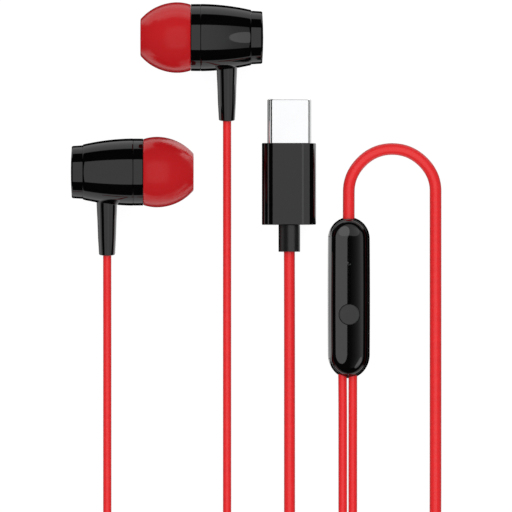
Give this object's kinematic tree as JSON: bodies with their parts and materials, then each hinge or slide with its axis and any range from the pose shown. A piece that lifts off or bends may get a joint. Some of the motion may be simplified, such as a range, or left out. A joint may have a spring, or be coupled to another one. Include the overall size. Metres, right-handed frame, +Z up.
{
  "type": "wired earphones",
  "caption": "In-ear earphones with red silicone tips and red cords, an in-line remote with a button and microphone, and a flat oval digital plug.",
  "frame": {"origin": "on the floor at the middle of the two earbuds' footprint, as they lie side by side", "axes": "+Z up from the floor; the left bud's tip points to -X and the right bud's to +X; both stems point to -Y; the plug's tip and the remote's top point to +Y"},
  "size_m": [0.0831, 0.1394, 0.0134],
  "materials": {
    "silicone_red": "soft satin silicone",
    "gloss_black": "polished black moulding",
    "grip_black": "polished black over-mould",
    "relief_black": "semi-matt black",
    "button_grey": "fine matt dark grey",
    "cord_red": "satin red cord jacket with a fine weave",
    "plug_steel": "bright drawn steel",
    "steel_mesh": "fine woven screen",
    "contact_gold": "gold-plated contacts",
    "inner_black": "matt black moulding",
    "film": "thin translucent film",
    "copper": "enamelled copper wire",
    "magnet_steel": "nickel-plated",
    "board_green": "solder mask",
    "felt": "white felt",
    "tie_black": "flat black band"
  },
  "bodies": {
    "root": {"left_nozzle_ring": "gloss_black", "left_nozzle_mesh": "steel_mesh", "left_barrel": "gloss_black", "left_end_cap": "gloss_black", "left_stem": "gloss_black", "left_driver_frame": "inner_black", "left_diaphragm": "film", "left_voice_coil": "copper", "left_pole_plate": "magnet_steel", "left_magnet": "magnet_steel", "left_yoke": "magnet_steel", "left_terminal_board": "board_green", "left_damper": "felt", "left_cord_knot": "cord_red", "right_nozzle_ring": "gloss_black", "right_nozzle_mesh": "steel_mesh", "right_barrel": "gloss_black", "right_end_cap": "gloss_black", "right_stem": "gloss_black", "right_driver_frame": "inner_black", "right_diaphragm": "film", "right_voice_coil": "copper", "right_pole_plate": "magnet_steel", "right_magnet": "magnet_steel", "right_yoke": "magnet_steel", "right_terminal_board": "board_green", "right_damper": "felt", "right_cord_knot": "cord_red", "remote_back_shell": "gloss_black", "remote_front_shell": "gloss_black", "switch_dome": "plug_steel", "switch_body": "inner_black", "remote_board": "board_green", "microphone": "plug_steel", "microphone_gasket": "inner_black", "cord_clamp": "inner_black", "plug_housing": "grip_black", "plug_shell": "plug_steel", "plug_insulator": "inner_black", "plug_contacts": "contact_gold", "plug_board": "board_green", "audio_chip": "inner_black", "strain_relief": "relief_black", "main_cord_remote": "cord_red", "main_cord_plug": "cord_red", "left_cord_bud": "cord_red", "left_cord_remote": "cord_red", "right_cord_bud": "cord_red", "right_cord_remote": "cord_red", "main_coil": "cord_red", "left_coil": "cord_red", "right_coil": "cord_red", "main_tie": "tie_black", "left_tie": "tie_black", "right_tie": "tie_black"},
    "left_tip": {"left_ear_tip": "silicone_red"},
    "right_tip": {"right_ear_tip": "silicone_red"},
    "button": {"button": "button_grey", "switch_plunger": "inner_black"}
  },
  "joints": [
    {"name": "left_tip_pull", "type": "slide", "parent": "root", "child": "left_tip", "axis": [-1, 0, 0], "range_m": [0, 0.005]},
    {"name": "right_tip_pull", "type": "slide", "parent": "root", "child": "right_tip", "axis": [1, 0, 0], "range_m": [0, 0.005]},
    {"name": "button_press", "type": "slide", "parent": "root", "child": "button", "axis": [0, 0, -1], "range_m": [0, 0.00025], "stiffness_N_per_m": 4000, "springref_m": -0.0001, "deforming": ["switch_dome"]}
  ]
}
